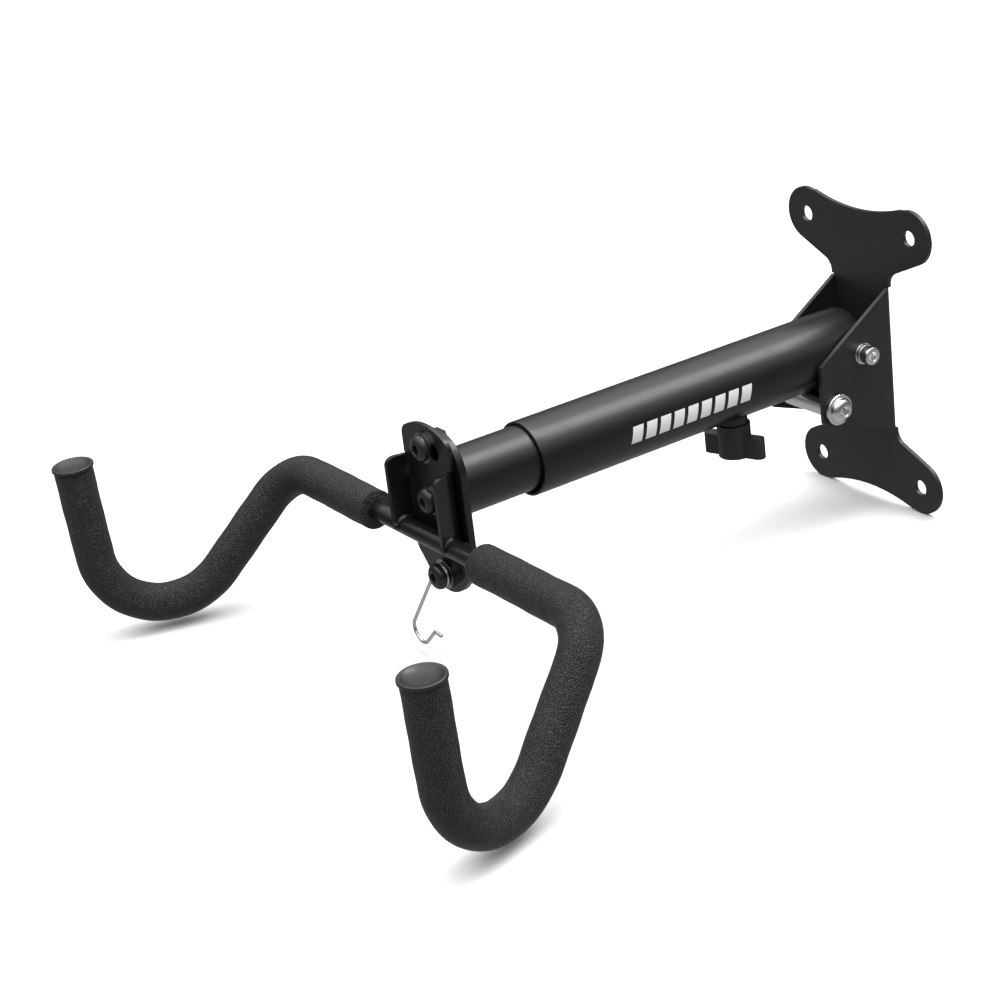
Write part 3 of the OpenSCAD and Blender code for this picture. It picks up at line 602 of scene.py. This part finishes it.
# End caps: soft plastic plugs pressed into the sleeves' open ends. Each has a rounded rim
# that stands a little proud of the foam and a shallow dish in its face.
cap_plastic = powder_coat("soft_cap_plastic", (0.016, 0.0162, 0.0168, 1), 0.32,
                          peel=0.00003, edge=0)
cap_radius, cap_dish, cap_round = 0.0114, 0.0019, 0.0008
for name, side, node in (("left_cap", -1, "left_end_cap"), ("right_cap", 1, "right_end_cap")):
    at, direction = sleeve_ends[side]
    t = np.linspace(0, math.pi / 2, 8)
    rim = [(cap_thick - cap_round + cap_round * math.sin(a),
            cap_radius - cap_round + cap_round * math.cos(a)) for a in t]
    r = np.linspace(cap_radius - 0.0018, 0, 24)
    dish = [(cap_thick - 0.0002 - cap_dish * (1 - (x / r[0]) ** 4), x) for x in r]
    profile = [(-0.012, 0.0), (-0.012, 0.0064), (0.0003, 0.0064), (0.0001, cap_radius - 0.0007),
               (0.0002, cap_radius - 0.0002), (0.0005, cap_radius)] + rim + dish
    mesh_piece(name, [turned(profile, at, direction, (1, 0, 0))], "cradle", "cap_plastic",
               cap_plastic, node, smooth=50)


# Clamp knob: a moulded wing knob under the outer tube. Its hub holds the stud, and its
# two wings have softly rounded edges.
knob_plastic = powder_coat("moulded_knob_plastic", (0.02, 0.02, 0.021, 1), 0.47, peel=0.00003)
knob = sheet_part("wing_knob", "clamp_knob", "knob", 0.0016, knob_plastic, steps=4)


# Small wire hook: 2 mm bright plated wire, wound into an eye round the lowest screw, with
# a straight shank, a round bend, a rising leg and a flared lip.
wire = plated("bright_plated_wire", (0.72, 0.72, 0.74), 0.2)
wire_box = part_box("wire_hook")
screw_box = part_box("hook_bolt")
eye = np.array([0, (wire_box[0].y + wire_box[1].y) / 2, (screw_box[0].z + screw_box[1].z) / 2])
wire_eye, wire_radius = 0.0053, 0.001
hang = math.radians(37)
across_wire = np.array([math.cos(hang), 0, -math.sin(hang)])
down_wire = np.array([-math.sin(hang), 0, -math.cos(hang)])
flat = [(-wire_eye, 0), (-wire_eye, 0.057), (0.0077, 0.057), (0.0107, 0.039), (0.0156, 0.036)]
hook_line = np.array([eye + u * across_wire + v * down_wire for u, v in flat])
shank, _ = bent_path(hook_line, [0.006, 0.006, 0.002], 0.0006)
wound = np.linspace(math.radians(310), 0, 60)[:, None]
eye_line = eye + wire_eye * (-np.cos(wound) * across_wire - np.sin(wound) * down_wire)
wire_path = np.vstack([eye_line[:-1], shank])
mesh_piece("bent_wire_hook", [swept(wire_path, wire_radius, 20, lip=0.0003)], "small_hook",
           "bright_wire", wire, "wire_hook")


# Floor: a wide, plain, pale sheet just under the rack's lowest point, which is either its
# lower ears or its hooks.
floor_mesh = bpy.data.meshes.new("floor")
ear_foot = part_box("wall_bracket")[0].z
hook_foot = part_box("right_foam_sleeve")[0].z
floor_height = min(ear_foot, hook_foot) - 0.0003
wide = 12.0
floor_mesh.from_pydata([(-wide, -wide, floor_height), (wide, -wide, floor_height),
                        (wide, wide, floor_height), (-wide, wide, floor_height)],
                       [], [(0, 1, 2, 3)])
floor = bpy.data.objects.new("floor", floor_mesh)
scene.collection.objects.link(floor)
floor_paper = bpy.data.materials.new("pale_floor")
floor_paper.use_nodes = True
paper = floor_paper.node_tree.nodes["Principled BSDF"].inputs
paper["Base Color"].default_value = (0.9, 0.9, 0.9, 1)
paper["Roughness"].default_value = 0.9
paper["Specular IOR Level"].default_value = 0.1
floor_mesh.materials.append(floor_paper)


# Light: a pale studio, seen by the metal as bright overhead, dim at eye level and a little
# brighter below. One large soft lamp hangs above. The floor is kept out of reflections and
# bounced light, so that the rack's undersides stay dark.
world = bpy.data.worlds.new("studio")
scene.world = world
world.use_nodes = True
sky_nodes, sky_links = world.node_tree.nodes, world.node_tree.links
background = sky_nodes["Background"]
sky_place = sky_nodes.new("ShaderNodeTexCoord")
sky_split = sky_nodes.new("ShaderNodeSeparateXYZ")
sky_height = sky_nodes.new("ShaderNodeMapRange")
sky_height.inputs["From Min"].default_value = -1
sky_ramp = sky_nodes.new("ShaderNodeValToRGB")
levels = [(0.0, 0.16), (0.3, 0.13), (0.5, 0.05), (0.62, 0.06), (0.76, 0.25), (0.9, 0.7),
          (1.0, 1.0)]
for height, level in levels[1:-1]:
    sky_ramp.color_ramp.elements.new(height)
for element, (height, level) in zip(sky_ramp.color_ramp.elements, levels):
    element.position = height
    element.color = (level, level, level, 1)
sky_links.new(sky_place.outputs["Generated"], sky_split.inputs["Vector"])
sky_links.new(sky_split.outputs["Z"], sky_height.inputs["Value"])
sky_links.new(sky_height.outputs["Result"], sky_ramp.inputs["Fac"])
sky_links.new(sky_ramp.outputs["Color"], background.inputs["Color"])
background.inputs["Strength"].default_value = 3.0
floor.visible_glossy = False
floor.visible_diffuse = False

lamp_data = bpy.data.lights.new("soft_lamp", "AREA")
lamp_data.shape = "RECTANGLE"
lamp_data.size, lamp_data.size_y = 0.7, 1.3
lamp_data.energy = 14
lamp = bpy.data.objects.new("soft_lamp", lamp_data)
lamp_aim = Vector((0, -0.2, 0))
lamp_place = Vector((0.24, 0.5, 1.4))
lamp_turn = (lamp_place - lamp_aim).to_track_quat("Z", "Y").to_matrix().to_4x4()
lamp.matrix_world = Matrix.Translation(lamp_place) @ lamp_turn
scene.collection.objects.link(lamp)
